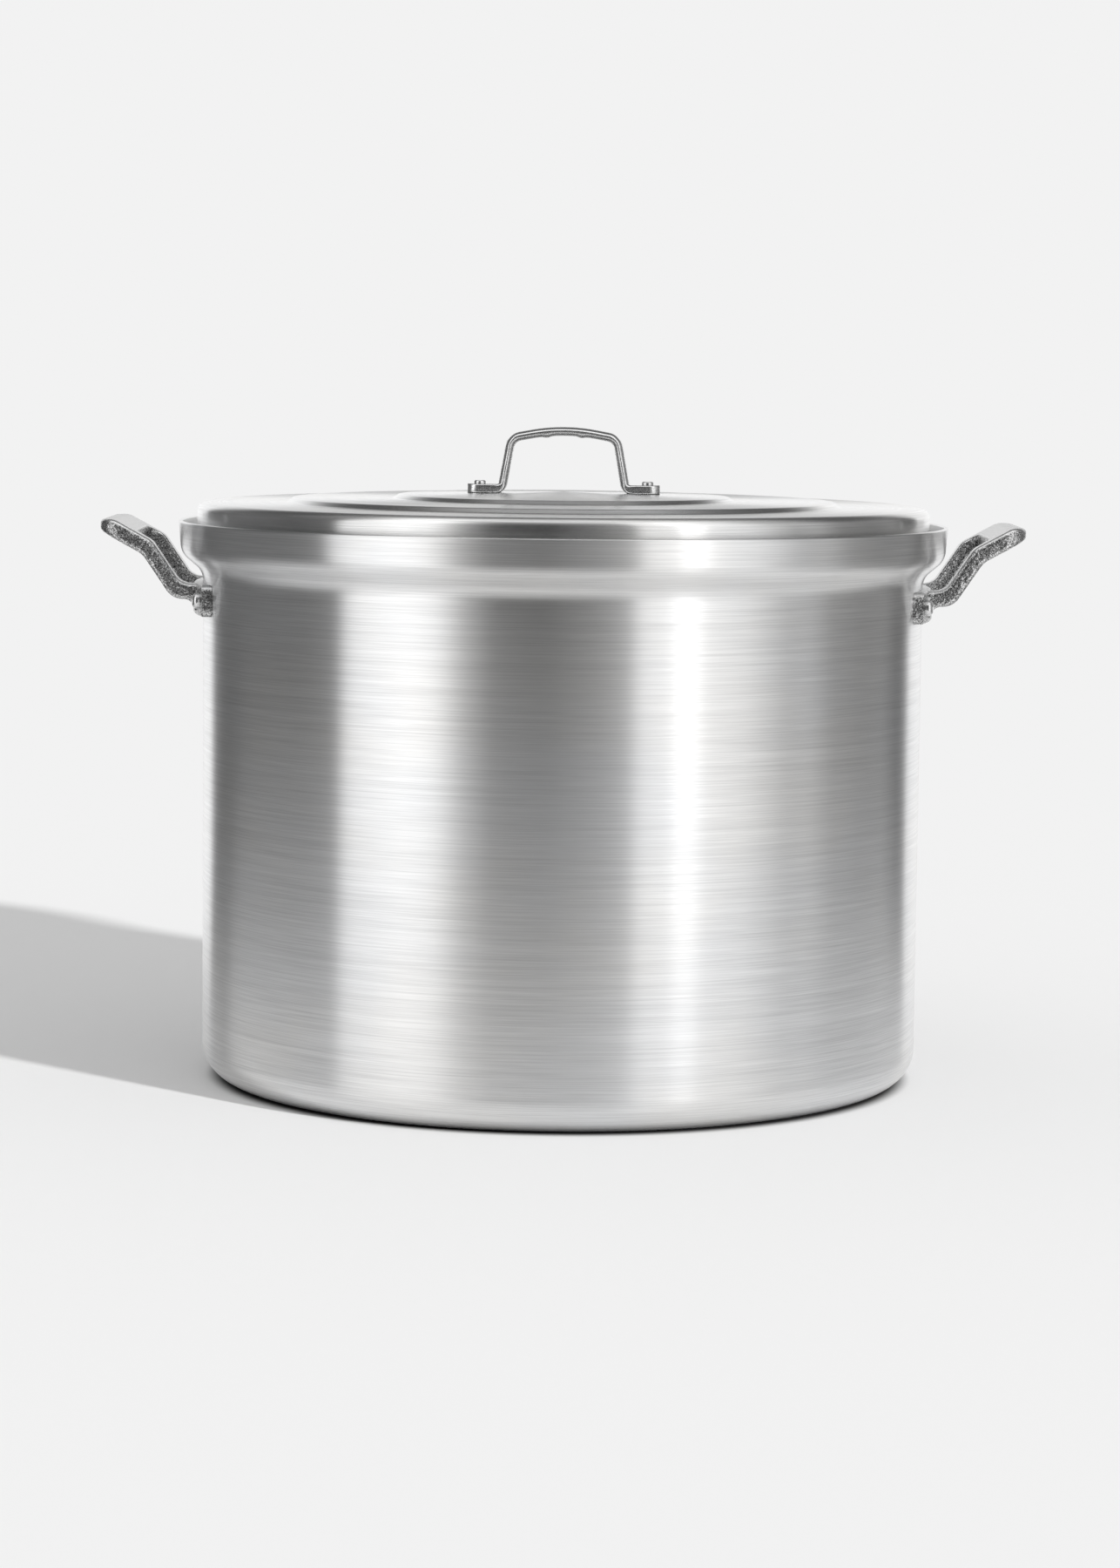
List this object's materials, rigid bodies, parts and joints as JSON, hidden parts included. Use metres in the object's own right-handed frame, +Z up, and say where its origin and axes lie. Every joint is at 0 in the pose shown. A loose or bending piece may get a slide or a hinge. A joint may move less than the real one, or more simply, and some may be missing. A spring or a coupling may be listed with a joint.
{
  "type": "stock pot",
  "caption": "Large round aluminium stock pot with a flared collar, riveted cast side handles and a drop-in lid that rests on the inner shoulder.",
  "frame": {"origin": "centre of the flat base, on the surface that the pot stands on", "axes": "+Z up along the pot's axis of rotation; the two side handles lie along +X and -X; -Y is the front"},
  "size_m": [0.678, 0.5658, 0.4804],
  "materials": {
    "spun_aluminium": "fine lathe-brushed, satin",
    "lid_aluminium": "bright spun, with concentric brushing",
    "cast_aluminium": "tumbled casting, slightly rough",
    "rivet_aluminium": "smooth, hammered bright"
  },
  "bodies": {
    "pot": {"pot_body": "spun_aluminium", "left_side_handle": "cast_aluminium", "right_side_handle": "cast_aluminium", "front_left_handle_rivet": "rivet_aluminium", "rear_left_handle_rivet": "rivet_aluminium", "front_right_handle_rivet": "rivet_aluminium", "rear_right_handle_rivet": "rivet_aluminium"},
    "lid": {"lid_shell": "lid_aluminium", "lid_handle": "cast_aluminium", "left_lid_handle_rivet": "rivet_aluminium", "right_lid_handle_rivet": "rivet_aluminium"}
  },
  "joints": [
    {"name": "lid_lift", "type": "slide", "parent": "pot", "child": "lid", "axis": [0, 0, 1], "range_m": [0, 0.3]}
  ]
}
